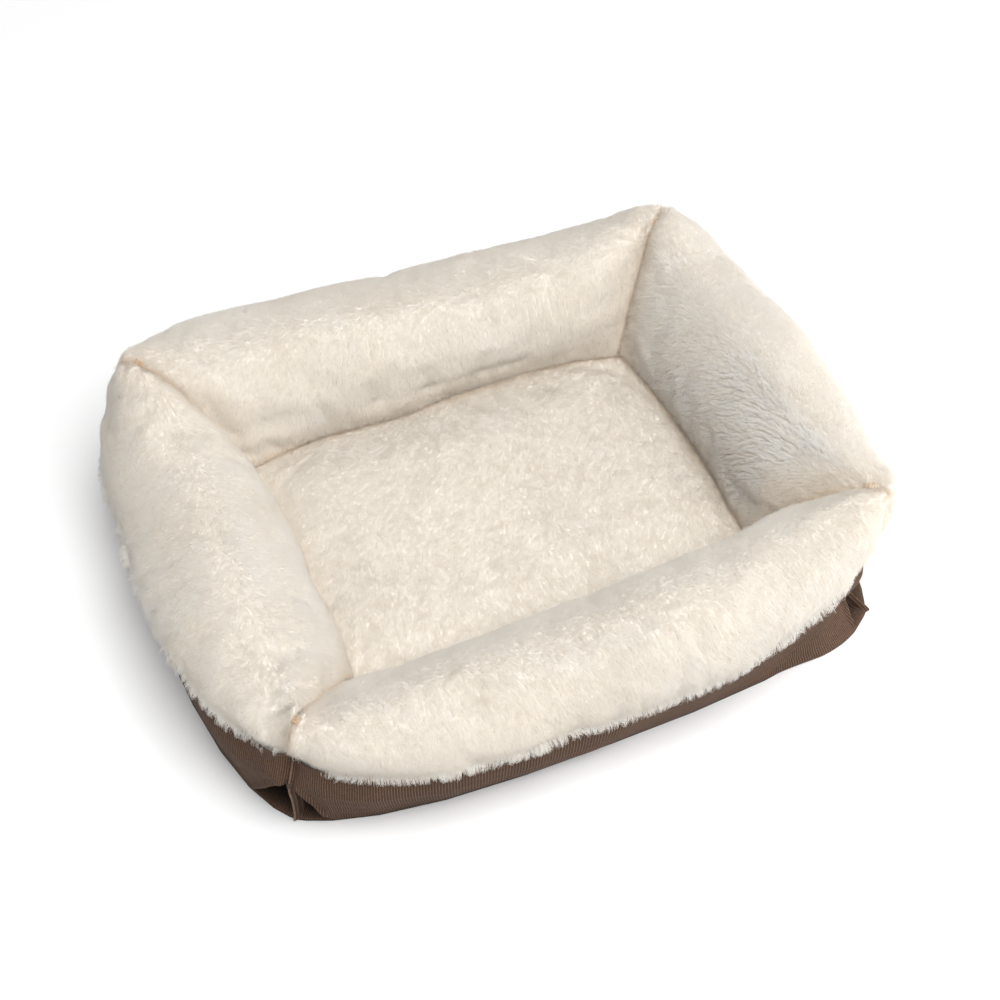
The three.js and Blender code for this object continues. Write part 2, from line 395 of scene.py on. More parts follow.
def canvas_material():
    """Corded canvas: fine upright cords, brown yarn flecked lighter and darker, and painted shade,
    near-black, where the cloth is drawn in under the corner folds.
    """
    mat, tree, shader = material("canvas", 0.8)
    across = attribute_node(tree, "cord").outputs["Fac"]
    wave = tree.nodes.new("ShaderNodeMath")
    wave.operation = "SINE"
    turned = tree.nodes.new("ShaderNodeMath")
    turned.operation = "MULTIPLY"
    turned.inputs[1].default_value = 2 * math.pi / CORD_PITCH
    tree.links.new(across, turned.inputs[0])
    tree.links.new(turned.outputs[0], wave.inputs[0])
    stops = [(0.0, (0.075, 0.045, 0.031)), (0.5, (0.125, 0.078, 0.054)), (1.0, (0.16, 0.103, 0.073))]
    shade = ramp(tree, wave.outputs[0], stops)
    stops = [(0.3, (0.72, 0.70, 0.68)), (0.7, (1.15, 1.12, 1.1))]
    fleck = ramp(tree, noise_node(tree, 700.0, 2.0), stops)
    stops = [(0.3, (0.9, 0.9, 0.9)), (0.75, (1.1, 1.08, 1.06))]
    worn = ramp(tree, noise_node(tree, 18.0, 3.0), stops)
    yarn = mix_colour(tree, 1.0, mix_colour(tree, 1.0, shade, fleck, "MULTIPLY"), worn, "MULTIPLY")
    # painted shade: near-black blended in by how far the cloth is drawn in under a corner fold
    painted_fold_shade = tree.nodes.new("ShaderNodeRGB")
    painted_fold_shade.outputs[0].default_value = (0.010, 0.009, 0.008, 1)
    fold_shade_share = attribute_node(tree, "fold_shade_share").outputs["Fac"]
    tree.links.new(mix_colour(tree, fold_shade_share, yarn, painted_fold_shade.outputs[0]), shader.inputs["Base Color"])
    shader.inputs["Specular IOR Level"].default_value = 0.12
    bump(tree, shader, wave.outputs[0], 0.25 * MM, 0.6)
    return mat


def cloth_material(name, dark, light, scale):
    """Plain thread or cloth, mottled between two colours."""
    mat, tree, shader = material(name, 0.85)
    tint = ramp(tree, noise_node(tree, scale, 3.0), [(0.3, dark), (0.7, light)])
    tree.links.new(tint, shader.inputs["Base Color"])
    bump(tree, shader, noise_node(tree, 4 * scale, 2.0), 0.15 * MM, 0.6)
    return mat


PLUSH = plush_material()
STRAND = fur_material()
CANVAS = canvas_material()
SEAM = cloth_material("seam", (0.11, 0.065, 0.042), (0.24, 0.15, 0.10), 500.0)
# near-black: painted shade where the base panel shows in the recesses under the canvas
BASE_CLOTH = cloth_material("base_cloth", (0.010, 0.009, 0.008), (0.022, 0.020, 0.018), 400.0)
THREAD = cloth_material("thread", (0.035, 0.024, 0.018), (0.10, 0.065, 0.045), 900.0)
TAN_THREAD = cloth_material("tan_thread", (0.55, 0.33, 0.16), (0.75, 0.52, 0.32), 900.0)


def tree_of(points):
    tree = KDTree(len(points))
    for index, spot in enumerate(points):
        tree.insert(spot, index)
    tree.balance()
    return tree


def pad_rim_tree():
    """The pad's upright sides, seen from above."""
    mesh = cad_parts["pad_cover"].data
    rim = []
    for face in mesh.polygons:
        if abs(face.normal.z) < 0.5:
            corners = [np.array(mesh.vertices[index].co) for index in face.vertices]
            for first, second in zip(corners, corners[1:] + corners[:1]):
                rim.extend(first + (second - first) * share for share in np.linspace(0, 1, 9))
    return tree_of(np.array(rim) * IN_PLAN)


pad_rim = pad_rim_tree()


def edge_distance(points):
    """Level distance from the pad's edge."""
    return np.array([pad_rim.find((x, y, 0))[2] for x, y, _ in points])


# ---- cushions
def welded(node, name):
    """A new object with a copy of a node's mesh, its split vertices joined."""
    ob = link(bpy.data.objects.new(name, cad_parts[node].data.copy()))
    ob.data.materials.clear()
    build = bmesh.new()
    build.from_mesh(ob.data)
    bmesh.ops.remove_doubles(build, verts=build.verts, dist=0.02 * MM)
    build.to_mesh(ob.data)
    build.free()
    return ob


def remesh(ob):
    even = ob.modifiers.new("remesh", "REMESH")
    even.mode = "VOXEL"
    even.voxel_size = VOXEL
    apply_modifiers(ob)


def inflated(ob, held):
    """Blows the cover up by cloth simulation; held, from 0 to 1 a vertex, says what is sewn fast."""
    before = points_of(ob.data)
    group = ob.vertex_groups.new(name="sewn")
    for index, weight in enumerate(held):
        group.add([index], float(weight), "REPLACE")
    cloth = ob.modifiers.new("cloth", "CLOTH")
    for name, value in CLOTH_SETTINGS.items():
        setattr(cloth.settings, name, value)
    cloth.settings.effector_weights.gravity = 0
    cloth.collision_settings.use_collision = False
    scene = bpy.context.scene
    cloth.point_cache.frame_start, cloth.point_cache.frame_end = 1, INFLATE_STEPS
    for step in range(1, INFLATE_STEPS + 1):
        scene.frame_set(step)
    graph = bpy.context.evaluated_depsgraph_get()
    after = points_of(ob.evaluated_get(graph).data)
    ob.modifiers.clear()
    ob.vertex_groups.clear()
    scene.frame_set(1)
    return before, after


def capped(before, after):
    """No point moves further than SWELL_CAP."""
    moved = after - before
    length = np.linalg.norm(moved, axis=1)
    return before + moved * np.minimum(1, SWELL_CAP / np.maximum(length, 1e-9))[:, None]


def refine(ob, levels):
    finer = ob.modifiers.new("finer", "SUBSURF")
    finer.levels = finer.render_levels = levels
    apply_modifiers(ob)
    shade_smooth(ob.data)
    ob.data.update()


def bolster_frame(points, side):
    """Places along and outside the corners' line, and the distance in from the nearer mitre."""
    along, outward, _, _ = SIDES[side]
    place = points @ along
    out = points @ outward - half_outward(side)
    mitre = (half_along(side) + out - np.abs(place)) / math.sqrt(2)
    return place, out, mitre


def sewn_bolster(points, side):
    """1 where the cover is held: its mitred ends, its underside and what the canvas covers."""
    _, out, mitre = bolster_frame(points, side)
    end = 1 - smooth(2 * MM, 9 * MM, mitre)
    below = 1 - smooth(4 * MM, 14 * MM, points[:, 2] - base_top)
    hem = hem_height(side, points)
    covered = (out > -5 * MM) * (1 - smooth(-12 * MM, 2 * MM, points[:, 2] - hem))
    inner = (out < -5 * MM) * (1 - smooth(-10 * MM, 2 * MM, points[:, 2] - pad_seam))
    return np.clip(np.maximum.reduce([end, below, covered, inner]), 0, 1)


def in_its_mitre(points, side):
    """Presses what has swelled past a mitre flat against the next bolster."""
    along, _, _, _ = SIDES[side]
    place, _, mitre = bolster_frame(points, side)
    past = np.maximum(SEAM_CLEARANCE - mitre, 0) * math.sqrt(2)
    return points - (np.sign(place) * past)[:, None] * along


def out_to_its_mitre(points, side):
    """Stretches a bolster's ends out until they meet the next one's."""
    along, _, _, _ = SIDES[side]
    place, _, mitre = bolster_frame(points, side)
    short = np.percentile(mitre, 2) - SEAM_CLEARANCE
    stretch = short * (1 - smooth(0, 24 * MM, mitre)) * math.sqrt(2)
    return points + (np.sign(place) * stretch)[:, None] * along


def rolled_over_hem(points, normals, side):
    """Brings the cover out over the canvas just above the hem, and fills its foot by the pad."""
    _, out, mitre = bolster_frame(points, side)
    above = points[:, 2] - hem_height(side, points)
    lip = smooth(-4 * MM, 1 * MM, above) * (1 - smooth(8 * MM, 50 * MM, above))
    lip *= smooth(-20 * MM, 0, out)
    if side == "front":
        lip *= 1 - 0.4 * smooth(-50 * MM, 180 * MM, points[:, 0])
    foot = (out < 0) * (1 - smooth(4 * MM, 40 * MM, points[:, 2] - pad_seam))
    crest = (1 - smooth(10 * MM, 70 * MM, mitre)) * smooth(0, 12 * MM, above)
    return points + normals * (HEM_LIP * lip + FOOT_FILL * foot + CORNER_FILL * crest)[:, None]


# Creases in the cushions: side, the two ends, radius and depth
CREASES = (
    ("left", (-0.262, -0.105, 0.118), (-0.250, -0.185, 0.100), 15 * MM, 7 * MM),
    ("left", (-0.258, 0.060, 0.085), (-0.246, 0.120, 0.130), 16 * MM, 3 * MM),
    ("back", (-0.100, 0.150, 0.066), (0.090, 0.138, 0.064), 5 * MM, 2.6 * MM),
    ("back", (-0.200, 0.165, 0.105), (-0.140, 0.150, 0.085), 9 * MM, 2.5 * MM),
    ("front", (-0.190, -0.215, 0.105), (-0.120, -0.228, 0.118), 13 * MM, 3 * MM),
    ("front", (0.150, -0.225, 0.130), (0.215, -0.205, 0.150), 12 * MM, 2.5 * MM),
    ("right", (0.225, -0.120, 0.140), (0.232, -0.165, 0.155), 12 * MM, 3 * MM),
)


# Fuller and flatter places: side, middle, radius and how far out
FULLNESS = (
    ("back", (-0.195, 0.225, 0.140), 60 * MM, 9 * MM),
    ("back", (0.010, 0.225, 0.135), 60 * MM, -4 * MM),
    ("back", (0.228, 0.212, 0.135), 32 * MM, 5 * MM),
    ("left", (-0.278, 0.190, 0.120), 50 * MM, 8 * MM),
    ("left", (-0.315, 0.100, 0.070), 65 * MM, -8 * MM),
    ("right", (0.303, 0.000, 0.125), 70 * MM, 7 * MM),
    ("right", (0.272, 0.175, 0.130), 38 * MM, 9 * MM),
    ("front", (0.262, -0.198, 0.085), 24 * MM, -7 * MM),
    ("right", (0.262, -0.198, 0.085), 24 * MM, -7 * MM),
    ("front", (0.170, -0.240, 0.085), 60 * MM, -5 * MM),
    ("front", (-0.060, -0.250, 0.080), 45 * MM, -4 * MM),
)
# What the canvas has besides
PANEL_FULLNESS = (
    ("left", (-0.300, 0.080, 0.070), 80 * MM, -5 * MM),
    ("left", (-0.300, 0.080, 0.010), 80 * MM, -6 * MM),
    ("left", (-0.300, -0.050, 0.020), 80 * MM, -7 * MM),
    ("front", (0.215, -0.225, 0.008), 42 * MM, 8 * MM),
)
# Corners that stand out along their mitre: middle, radius and how far
CORNER_FULLNESS = {"front_right": ((0.266, -0.176, 0.156), 27 * MM, 18 * MM)}


def fullness(points, side, places):
    swell = np.zeros(len(points))
    for which, middle, radius, most in places:
        if which == side:
            gap = np.linalg.norm(points - np.array(middle), axis=1)
            swell += most * np.exp(-((gap / radius) ** 2))
    return swell


def filled_bolster(points, normals, side):
    """Evens the stuffing: out where a bolster is full, in where it is slack."""
    _, _, mitre = bolster_frame(points, side)
    swell = fullness(points, side, FULLNESS) * smooth(-2 * MM, 8 * MM, mitre)
    points = points + normals * swell[:, None]
    for corner, (middle, radius, most) in CORNER_FULLNESS.items():
        if corner in SIDES[side][2:]:
            gap = np.linalg.norm(points - np.array(middle), axis=1)
            away = unit(np.sign(middle) * IN_PLAN)
            points = points + away * (most * np.exp(-((gap / radius) ** 2)))[:, None]
    return points


def from_line(points, first, last):
    """Distance of each point from the straight line between two."""
    first, last = np.array(first), np.array(last)
    run = last - first
    share = np.clip((points - first) @ run / (run @ run), 0, 1)
    return np.linalg.norm(points - first - share[:, None] * run, axis=1)


def seam_wander(points):
    """How far the seam round the pad strays from its line, for the cloth on both sides of it."""
    level = points * IN_PLAN
    stray = noise3(level, 62 * MM, 61) * np.array([5.0, 5.0, 2.5]) * MM
    gap = rim_gap(points)
    return stray * (1 - smooth(4 * MM, 32 * MM, gap))[:, None]


def rim_gap(points):
    """Distance from the seam round the pad."""
    return np.hypot(edge_distance(points), points[:, 2] - pad_seam)


def drawn_by_seam(points, normals, side):
    return points + seam_wander(points)


def creased_bolster(points, normals, side):
    """Dents along the creases, and the crests drawn down at the corner tacks."""
    depth = np.zeros(len(points))
    for which, first, last, radius, most in CREASES:
        if which == side:
            depth += most * np.exp(-((from_line(points, first, last) / radius) ** 2))
    drop = np.zeros(len(points))
    for corner in SIDES[side][2:]:
        gap = np.linalg.norm(points - crests[corner], axis=1)
        drop += TACK_DIMPLE * np.exp(-((gap / (11 * MM)) ** 2)) * smooth(0, 0.5, normals[:, 2])
    return points - normals * depth[:, None] - UP * drop[:, None]


def wrinkled_bolster(points, normals, side):
    """Soft dents along a stuffed roll, and gathers that run out from its pulled corners."""
    place, out, mitre = bolster_frame(points, side)
    seed = 11 + list(SIDES).index(side)
    (wide, tall), (narrow, low_one) = ROLL_LUMPS
    lumps = noise(points, wide, seed) * tall + noise(points, narrow, seed + 5) * low_one
    angle = np.arctan2(points[:, 2] - pad_seam, -out)
    around = np.stack([angle * 60 * MM, mitre * 0.25, np.sign(place) * 0.1], axis=1)
    gathers = noise(around, 15 * MM, seed + 9) * GATHER_DEPTH
    gathers *= smooth(2 * MM, 14 * MM, mitre) * (1 - smooth(30 * MM, 85 * MM, mitre))
    return points + normals * (lumps * smooth(0, 20 * MM, mitre) + gathers)[:, None]


# ---- pile
class Pile:
    """Tufts of plush over a cushion: where they stand, which way they lie, how long they are."""

    def __init__(self, mesh, weight, lie, seed, ruffle, seam, style=NAP):
        """weight is the share of pile at each vertex, lie(points, normals) its direction, and
        ruffle(points) and seam(points) say how tufted and how tanned by a seam it is."""
        self.ruffle, self.seam, self.style = ruffle, seam, style
        self.random = np.random.default_rng(seed)
        mesh.calc_loop_triangles()
        triangles = np.empty(len(mesh.loop_triangles) * 3, dtype=np.int64)
        mesh.loop_triangles.foreach_get("vertices", triangles)
        self.triangles = triangles.reshape(-1, 3)
        self.points = points_of(mesh)
        self.normals = normals_of(mesh)
        self.weight = weight
        self.lie = lie
        corners = self.points[self.triangles]
        sides = corners[:, 1:] - corners[:, :1]
        area = np.linalg.norm(np.cross(sides[:, 0], sides[:, 1]), axis=1) / 2
        self.area = area * self.weight[self.triangles].mean(axis=1)
        self.total = self.area.sum()
        tips, normals = self.scatter(int(self.total / style["spacing"] ** 2))
        lean = self.lie(tips, normals)
        strands = self.strand(normals, lean, np.ones(len(tips)), 1 + self.ruffle(tips))
        self.tuft_tip = tips + strands[:, -1]
        self.tuft_tone = self.random.random(len(tips))
        self.tree = tree_of(tips)

    def scatter(self, count):
        """Places spread evenly over the pile, with their normals."""
        chosen = np.searchsorted(np.cumsum(self.area), self.random.random(count) * self.total)
        chosen = np.minimum(chosen, len(self.area) - 1)
        share = self.random.random((count, 2))
        share = np.where(share.sum(axis=1, keepdims=True) > 1, 1 - share, share)
        share = np.column_stack([1 - share.sum(axis=1), share])[..., None]
        picked = self.triangles[chosen]
        spots = (self.points[picked] * share).sum(axis=1)
        return spots, unit((self.normals[picked] * share).sum(axis=1))

    def strand(self, normals, lean, length, lift):
        """Offsets of a strand's points from its root: up at first, then over along the nap."""
        up = (normals * lift[:, None])[:, None] * np.array(self.style["up"])[None, :, None]
        over = lean[:, None] * np.array(self.style["over"])[None, :, None]
        return (up + over) * (self.style["length"] * length)[:, None, None]

    def nearest(self, spots):
        return np.array([self.tree.find(spot)[1] for spot in spots])

    def relief(self):
        """Height of the tufted surface at each vertex, from 0 between tufts to 1."""
        lean = self.lie(self.points, self.normals)
        sheared = self.points - lean * 2.2 * MM
        height = np.zeros(len(self.points))
        for index, spot in enumerate(sheared):
            if self.weight[index] > 0.02:
                height[index] = self.tree.find(spot)[2]
        height = 1 - np.clip(height / (0.75 * self.style["spacing"]), 0, 1) ** 1.4
        return height * self.weight

    def grow(self, name, surface):
        """The strands, as one hair object."""
        count = int(self.total * self.style["density"])
        roots, normals = self.scatter(count)
        lean = unit(self.lie(roots, normals) + self.random.normal(0, LEAN_SPREAD, (count, 3)))
        lean = on_surface(lean, normals)
        length = 0.75 + 0.4 * self.random.random(count)
        tuft = self.nearest(roots)
        rough = self.ruffle(roots)
        lift = (1 + rough) * (0.6 + 0.8 * self.random.random(count))
        offsets = self.strand(normals, lean, length, lift)
        tips = roots + offsets[:, -1]
        share = (0.04 + 0.7 * rough) * (0.5 + self.random.random(count))
        pull = (self.tuft_tip[tuft] - tips) * share[:, None]
        step = np.linspace(0, 1, STRAND_POINTS)
        points = roots[:, None] + offsets + pull[:, None] * (step**1.6)[None, :, None]
        points += self.random.normal(0, STRAND_WOBBLE, points.shape) * step[None, :, None]
        patch = noise(roots, 30 * MM, 21) + 0.6 * noise(roots, 9 * MM, 22)
        varied = self.tuft_tone[tuft] + self.random.random(count) - 1
        # whiter where the pile is ruffled, most on the right bolster's inner face and the fringe: partly
        # the tufts' own whiteness, partly painted light that lifts that shaded face
        tone_and_painted_light = np.clip(0.5 + 0.3 * rough + 0.09 * patch + (0.04 + 0.55 * rough) * varied, 0, 1)
        values = {"tone_and_painted_light": tone_and_painted_light, "seam": self.seam(roots)}
        return hair_object(name, points, normals, values, surface)


def hair_object(name, points, normals, values, surface):
    count = len(points)
    curves = bpy.data.hair_curves.new(name)
    curves.add_curves([STRAND_POINTS] * count)
    curves.position_data.foreach_set("vector", points.astype(np.float32).ravel())
    taper = np.tile(STRAND_RADIUS * np.linspace(1, 0.25, STRAND_POINTS), count)
    radius = curves.attributes.new("radius", "FLOAT", "POINT")
    radius.data.foreach_set("value", taper.astype(np.float32))
    for key, numbers in values.items():
        layer = curves.attributes.new(key, "FLOAT", "CURVE")
        layer.data.foreach_set("value", numbers.astype(np.float32))
    skin = curves.attributes.new("skin_normal", "FLOAT_VECTOR", "CURVE")
    soft = unit(normals + SOFTNESS * UP)
    skin.data.foreach_set("vector", soft.astype(np.float32).ravel())
    curves.materials.append(surface)
    return link(bpy.data.objects.new(name, curves))


def dress(ob, pile):
    """Raises the tufts in the mesh, then plants the strands on it."""
    height = pile.relief()
    set_points(ob.data, pile.points + pile.normals * (height * RELIEF)[:, None])
    set_attribute(ob.data, "pile", height)
    ob.data.materials.append(PLUSH)
    pile.grow(f"fur_{ob.name}", STRAND)


# ---- the bolsters
def bolster_lie(side):
    """The nap parts along the crest, runs down the outside and the inside, and wanders a little."""
    along = SIDES[side][0]
    seed = 40 + 7 * list(SIDES).index(side)
    slant = 0.9 if side == "right" else 0.25

    def lie(points, normals):
        place, out, mitre = bolster_frame(points, side)
        wander = noise3(points, 60 * MM, seed) * 0.4 + noise3(points, 18 * MM, seed + 3) * 0.12
        over_seam = (1 - smooth(0, 9 * MM, mitre)) * smooth(-14 * MM, 0, out)
        outside = 2 * smooth(-40 * MM, 24 * MM, out) - 1
        along_it = slant + 1.0 * (1 - np.abs(outside)) + np.sign(place) * 2.5 * over_seam
        wish = np.cross(along, normals) * outside[:, None] + along * along_it[:, None] + wander
        return on_surface(wish, normals)

    return lie


def pile_on_bolster(points, side):
    """Where a bolster shows plush: not under the canvas, not in its mitres, not under the pad."""
    _, out, mitre = bolster_frame(points, side)
    seed = 70 + list(SIDES).index(side)
    ragged = noise(points, 6 * MM, seed) * 1.2 * MM
    hem = hem_height(side, points) + ragged
    outside = smooth(-4 * MM, 4 * MM, out)
    above_hem = smooth(-1 * MM, 1 * MM, points[:, 2] - hem)
    above_pad = smooth(-12 * MM, -4 * MM, points[:, 2] - pad_seam)
    shown = outside * above_hem + (1 - outside) * above_pad
    return shown * smooth(0.1 * MM, 1.0 * MM, mitre)


def tucked_under_canvas(points, side):
    """Draws what is below the hem in behind the canvas, and further in behind its corner folds."""
    share, out = shares(points, side)
    below = smooth(-2.5 * MM, 1.5 * MM, hem_height(side, points) - points[:, 2])
    fold = out - folded(side, share, points[:, 2], out)
    sunk = np.maximum(-fullness(points, side, PANEL_FULLNESS), 0)
    tuck = below * (CANVAS_TUCK + np.maximum(fold, 0) + sunk) * smooth(-30 * MM, -8 * MM, out)
    return on_side(side, share, points[:, 2], out - tuck)


def off_the_floor(points):
    """Keeps a cushion on top of the base panel."""
    points[:, 2] = np.maximum(points[:, 2], base_top + SEAM_CLEARANCE)
    return points


def fringe_on_bolster(points, side):
    """Where the fringe grows: in a band along the hem, outside."""
    _, out, mitre = bolster_frame(points, side)
    above = points[:, 2] - hem_height(side, points)
    band = smooth(-3 * MM, 0, above) * (1 - smooth(0.5 * FRINGE_BAND, FRINGE_BAND, above))
    return band * smooth(-8 * MM, 0, out) * smooth(0.4 * MM, 2 * MM, mitre)


def hanging(points, normals):
    """The fringe hangs over the hem."""
    wander = noise3(points, 9 * MM, 90) * 0.5
    return on_surface(np.array([0, 0, -1.0])[None] + wander, normals)


def all_ruffled(points):
    return np.full(len(points), 0.8)


def no_seam(points):
    return np.zeros(len(points))


def ruffled(side):
    """How tufted the pile is: most on the right bolster's inner face, where it's brushed up."""
    base = 1.0 if side == "right" else 0.12

    def amount(points):
        _, out, mitre = bolster_frame(points, side)
        inner = 1 - smooth(-22 * MM, 2 * MM, out)
        patch = smooth(-0.35, 0.5, noise(points, 60 * MM, 33))
        low_outside = 0.4 * smooth(10 * MM, 40 * MM, out)
        brushed = base * inner * smooth(5 * MM, 40 * MM, mitre) * (0.5 + patch)
        return np.clip(brushed + low_outside * patch, 0, 1)

    return amount


def seam_tint(gap):
    """Tan at a seam, and a little warmer than the rest for a couple of centimetres beside it."""
    return 0.30 * (1 - smooth(1 * MM, 5 * MM, gap)) + 0.12 * (1 - smooth(2 * MM, 26 * MM, gap))


def seam_on_bolster(side):
    """Tan by the mitred seams' valleys and by the seam with the pad."""

    def amount(points):
        _, out, mitre = bolster_frame(points, side)
        line = np.minimum(mitre + 100 * MM * smooth(10 * MM, 30 * MM, out), rim_gap(points))
        return seam_tint(line)

    return amount


def make_bolster(side):
    ob = welded(f"bolster_fill_{side}", f"bolster_{side}")
    remesh(ob)
    before, after = inflated(ob, sewn_bolster(points_of(ob.data), side))
    swelled = out_to_its_mitre(capped(before, after), side)
    set_points(ob.data, in_its_mitre(swelled, side))
    refine(ob, 2)
    for shape in (rolled_over_hem, filled_bolster, wrinkled_bolster, creased_bolster, drawn_by_seam):
        set_points(ob.data, in_its_mitre(shape(points_of(ob.data), normals_of(ob.data), side), side))
    set_points(ob.data, off_the_floor(tucked_under_canvas(points_of(ob.data), side)))
    points = points_of(ob.data)
    shown = pile_on_bolster(points, side)
    seed = 100 + list(SIDES).index(side)
    pile = Pile(ob.data, shown, bolster_lie(side), seed, ruffled(side), seam_on_bolster(side))
    band = fringe_on_bolster(points, side)
    fringe = Pile(ob.data, band, hanging, seed + 10, all_ruffled, no_seam, FRINGE)
    dress(ob, pile)
    fringe.grow(f"fringe_{side}", STRAND)
    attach(ob, "root")
    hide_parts(f"plush_cover_{side}", f"bolster_fill_{side}", f"inner_divider_{side}")


# ---- the pad
def lumpy_pad(points, normals):
    """Soft lumps on the pad's top, and its edge spread out into the seam."""
    (wide, tall), (narrow, low_one) = PAD_LUMPS
    lumps = noise(points, wide, 3) * tall + noise(points, narrow, 4) * low_one
    lumps *= smooth(0, 0.5, normals[:, 2])
    spread = PAD_SPREAD * (1 - smooth(0, 25 * MM, edge_distance(points)))
    level = normals * IN_PLAN
    return points + normals * lumps[:, None] + level * spread[:, None]


def pad_lie(points, normals):
    """The nap runs towards the front left, and wanders."""
    wander = noise3(points, 80 * MM, 5) * 0.45 + noise3(points, 22 * MM, 8) * 0.08
    return on_surface(np.array([-0.35, -0.6, 0])[None] + wander, normals)


def seam_on_pad(points):
    return seam_tint(edge_distance(points))


def make_pad():
    ob = welded("pad_fill", "pad")
    remesh(ob)
    points = points_of(ob.data)
    low_down = 1 - smooth(-22 * MM, -2 * MM, points[:, 2] - pad_seam)
    held = np.maximum(1 - smooth(4 * MM, 16 * MM, edge_distance(points)), low_down)
    before, after = inflated(ob, held)
    set_points(ob.data, capped(before, after))
    refine(ob, 2)
    set_points(ob.data, lumpy_pad(points_of(ob.data), normals_of(ob.data)))
    set_points(ob.data, off_the_floor(points_of(ob.data) + seam_wander(points_of(ob.data))))
    points, normals = points_of(ob.data), normals_of(ob.data)
    shown = smooth(0.1, 0.5, normals[:, 2]) * smooth(-12 * MM, -6 * MM, points[:, 2] - pad_seam)
    dress(ob, Pile(ob.data, shown, pad_lie, 200, no_seam, seam_on_pad, SMOOTH_NAP))
    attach(ob, "root")
    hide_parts("pad_cover", "pad_fill")


# ---- the canvas
def profile_tree(side):
    """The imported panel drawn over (share along, height, distance out), for looking out from inside."""
    points = node_points(f"outer_panel_{side}")
    share, out = shares(points, side)
    drawn = np.stack([share, points[:, 2], out], axis=1)
    faces = [tuple(p.vertices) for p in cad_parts[f"outer_panel_{side}"].data.polygons]
    return BVHTree.FromPolygons([Vector(p) for p in drawn], faces)


def panel_profile(side, columns, rows):
    """Shares along, heights and distances out of a grid over the panel, from base to hem."""
    tree = profile_tree(side)
    u = np.sin(np.linspace(-0.5, 0.5, columns) * math.pi)
    top = hem_height(side, on_side(side, u, np.interp(u, *hems[side]), np.zeros(columns)))
    v = np.linspace(0, 1, rows)
    height = base_top + v[None, :] * (top[:, None] + HEM_TUCK - base_top)
    out = np.full((columns, rows), np.nan)
    for i in range(columns):
        reach = float(np.clip(u[i], -0.985, 0.985))
        for j in range(rows):
            highest = np.interp(reach, *hems[side]) - 0.8 * MM
            level = float(np.clip(height[i, j], base_top + 0.8 * MM, highest))
            hit = tree.ray_cast(Vector((reach, level, 0.5)), Vector((0, 0, -1)))[0]
            out[i, j] = np.nan if hit is None else hit.z
    known = np.isfinite(out)
    for i in range(columns):
        out[i] = np.interp(v, v[known[i]], out[i][known[i]])
    for _ in range(4):
        inner = (out[:-2, 1:-1] + out[2:, 1:-1] + out[1:-1, :-2] + out[1:-1, 2:]) / 4
        out[1:-1, 1:-1] = 0.5 * out[1:-1, 1:-1] + 0.5 * inner
    return np.repeat(u[:, None], rows, axis=1), height, out


def on_side(side, share, height, out):
    """Points from shares along, heights and distances out."""
    along, outward, _, _ = SIDES[side]
    place = share * (half_along(side) + out)
    points = along * place[..., None] + outward * (half_outward(side) + out)[..., None]
    points[..., 2] = height
    return points


def fold_depth(side, share, height):
    """Shares of the draw-in under the folds that run down from the corner tacks to the floor, and
    of the swelling of the lobe's lower edge over them."""
    _, _, start, end = SIDES[side]
    drawn, swollen = np.zeros_like(height), np.zeros_like(height)
    for sign, corner in ((-1, start), (1, end)):
        tack = pinches[corner][2]
        gap = (1 - sign * share) * half_along(side)
        run = np.clip(gap / FOLD_LENGTHS.get((side, corner), FOLD_LENGTH), 0, 1)
        line = base_top + (tack - base_top) * (1 - run**1.6)
        near = 1 - smooth(0.85, 1.0, run)
        tongue = smooth(2 * MM, 10 * MM, gap)
        under = smooth(0.2 * MM, 3.0 * MM, line - height) * near * tongue
        drawn += under * smooth(0.5 * MM, 4 * MM, height - base_top)
        lip = np.exp(-(((height - line - 2 * MM) / (5 * MM)) ** 2)) * near * tongue
        swollen += lip * (1 - under)
    return drawn, swollen


def rounded(side, share, height):
    """Bulge of the canvas beside a corner, above its tack, that takes the edge off the corner."""
    _, _, start, end = SIDES[side]
    bulge = np.zeros_like(height)
    for sign, corner in ((-1, start), (1, end)):
        gap = (1 - sign * share) * half_along(side) / CORNER_ROUND
        rise = 1 - (1 - np.clip(gap, 0, 1)) ** 2
        above = smooth(-6 * MM, 8 * MM, height - pinches[corner][2])
        bulge += 0.29 * CORNER_ROUND * rise * (1 - smooth(1, 3.5, gap)) * above
    return bulge


def folded(side, share, height, out):
    """Draws the cloth in under the folds, and rounds the corners above them."""
    drawn, swollen = fold_depth(side, share, height)
    return out - FOLD_DEPTH * drawn + FOLD_SWELL * swollen + rounded(side, share, height)


def creased(side, share, height, out):
    """Slack waves along the panel, and fine creases near its pulled corners."""
    spots = on_side(side, share, height, out).reshape(-1, 3)
    gap = (1 - np.abs(share)) * half_along(side)
    creases = noise(spots * np.array([1, 1, 0.5]), 10 * MM, 301).reshape(share.shape) * 0.8 * MM
    creases = creases * (1 - smooth(10 * MM, 80 * MM, gap))
    waves = noise(spots, 45 * MM, 302).reshape(share.shape) * 1.3 * MM
    filled = fullness(spots, side, FULLNESS + PANEL_FULLNESS).reshape(share.shape)
    filled = np.maximum(filled, filled * smooth(-4 * MM, 22 * MM, height - base_top))
    return out + (creases + waves) * smooth(0, 8 * MM, height - base_top) + filled


